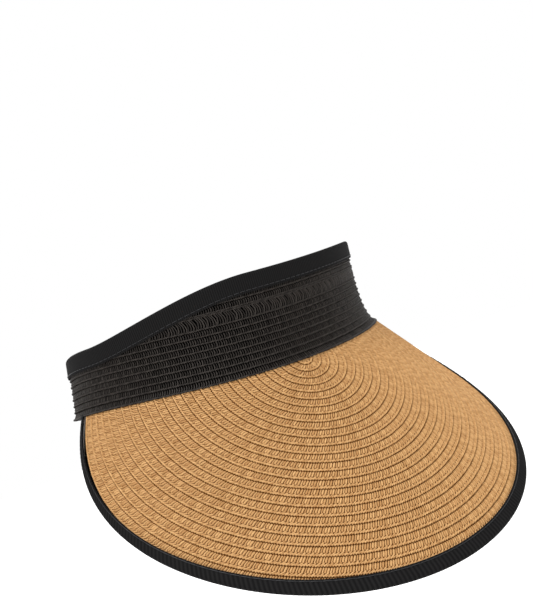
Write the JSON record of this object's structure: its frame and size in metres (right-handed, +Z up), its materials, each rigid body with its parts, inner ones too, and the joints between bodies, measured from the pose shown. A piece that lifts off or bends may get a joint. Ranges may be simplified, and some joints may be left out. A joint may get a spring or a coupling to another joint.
{
  "type": "sun visor",
  "caption": "Open-crown sun visor: wide curved brim of sewn braid rows, braid headband with bound top edge, and overlapping fabric straps with a hook-and-loop closure at the back.",
  "frame": {"origin": "centre of the head opening, level with the front of the seam between the headband and the brim", "axes": "+Z up through the open crown, -Y forwards over the brim, +X to the wearer's left"},
  "size_m": [0.2141, 0.2539, 0.1531],
  "materials": {
    "tan_braid": "matt paper braid with a slight sheen on the strands",
    "black_braid": "semi-gloss paper braid",
    "grosgrain": "matt ribbed tape",
    "ribbon": "matt woven ribbon",
    "strap_cloth": "matt plain-woven cotton",
    "hook_nylon": "matt nylon hooks",
    "loop_nylon": "matt nylon loops",
    "boning": "satin"
  },
  "bodies": {
    "front": {"brim_row_01": "tan_braid", "brim_row_02": "tan_braid", "brim_row_03": "tan_braid", "brim_row_04": "tan_braid", "brim_row_05": "tan_braid", "brim_row_06": "tan_braid", "brim_row_07": "tan_braid", "brim_row_08": "tan_braid", "brim_row_09": "tan_braid", "brim_row_10": "tan_braid", "brim_row_11": "tan_braid", "brim_row_12": "tan_braid", "brim_row_13": "tan_braid", "brim_row_14": "tan_braid", "brim_row_15": "tan_braid", "brim_row_16": "tan_braid", "brim_row_17": "tan_braid", "brim_row_18": "tan_braid", "brim_row_19": "tan_braid", "brim_row_20": "tan_braid", "brim_row_21": "tan_braid", "brim_row_22": "tan_braid", "brim_row_23": "tan_braid", "brim_row_24": "tan_braid", "brim_row_25": "tan_braid", "brim_row_26": "tan_braid", "brim_row_27": "tan_braid", "brim_edge_binding": "grosgrain", "brim_edge_cord": "boning", "band_row_01": "black_braid", "band_row_02": "black_braid", "band_row_03": "black_braid", "band_row_04": "black_braid", "band_row_05": "black_braid", "band_row_06": "black_braid", "band_row_07": "black_braid", "band_row_08": "black_braid", "band_row_09": "black_braid", "band_row_10": "black_braid", "band_row_11": "black_braid", "band_row_12": "black_braid", "band_row_13": "black_braid", "front_top_binding": "grosgrain", "front_sweatband": "ribbon"},
    "left_wing": {"left_wing_braid": "black_braid", "left_wing_top_binding": "grosgrain", "left_wing_sweatband": "ribbon", "left_wing_end_tape": "strap_cloth"},
    "right_wing": {"right_wing_braid": "black_braid", "right_wing_top_binding": "grosgrain", "right_wing_sweatband": "ribbon", "right_wing_end_tape": "strap_cloth"},
    "left_strap": {"left_strap": "strap_cloth"},
    "left_tab": {"left_strap_tab": "strap_cloth", "hook_patch": "hook_nylon"},
    "right_strap": {"right_strap": "strap_cloth", "loop_patch": "loop_nylon"}
  },
  "joints": [
    {"name": "size_adjust", "type": "hinge", "parent": "front", "child": "left_wing", "pos_m": [0.084, 0.0132, 0.02], "axis": [0, 0, 1], "range_deg": [-10, 10]},
    {"name": "size_adjust_right", "type": "hinge", "parent": "front", "child": "right_wing", "pos_m": [-0.084, 0.0132, 0.02], "axis": [0, 0, 1], "range_deg": [-10, 10]},
    {"name": "left_strap_flex", "type": "hinge", "parent": "left_wing", "child": "left_strap", "pos_m": [0.0687, 0.0546, 0.02], "axis": [0, 0, 1], "range_deg": [-10, 10]},
    {"name": "right_strap_flex", "type": "hinge", "parent": "right_wing", "child": "right_strap", "pos_m": [-0.0687, 0.0546, 0.02], "axis": [0, 0, 1], "range_deg": [-10, 10]},
    {"name": "closure_peel", "type": "hinge", "parent": "left_strap", "child": "left_tab", "pos_m": [0.022, 0.10385, 0.02], "axis": [0, 0, -1], "range_deg": [0, 110]}
  ],
  "couplings": [
    {"joint": "size_adjust_right", "follows": "size_adjust", "ratio": -1},
    {"joint": "left_strap_flex", "follows": "size_adjust", "ratio": -1},
    {"joint": "right_strap_flex", "follows": "size_adjust", "ratio": 1}
  ]
}
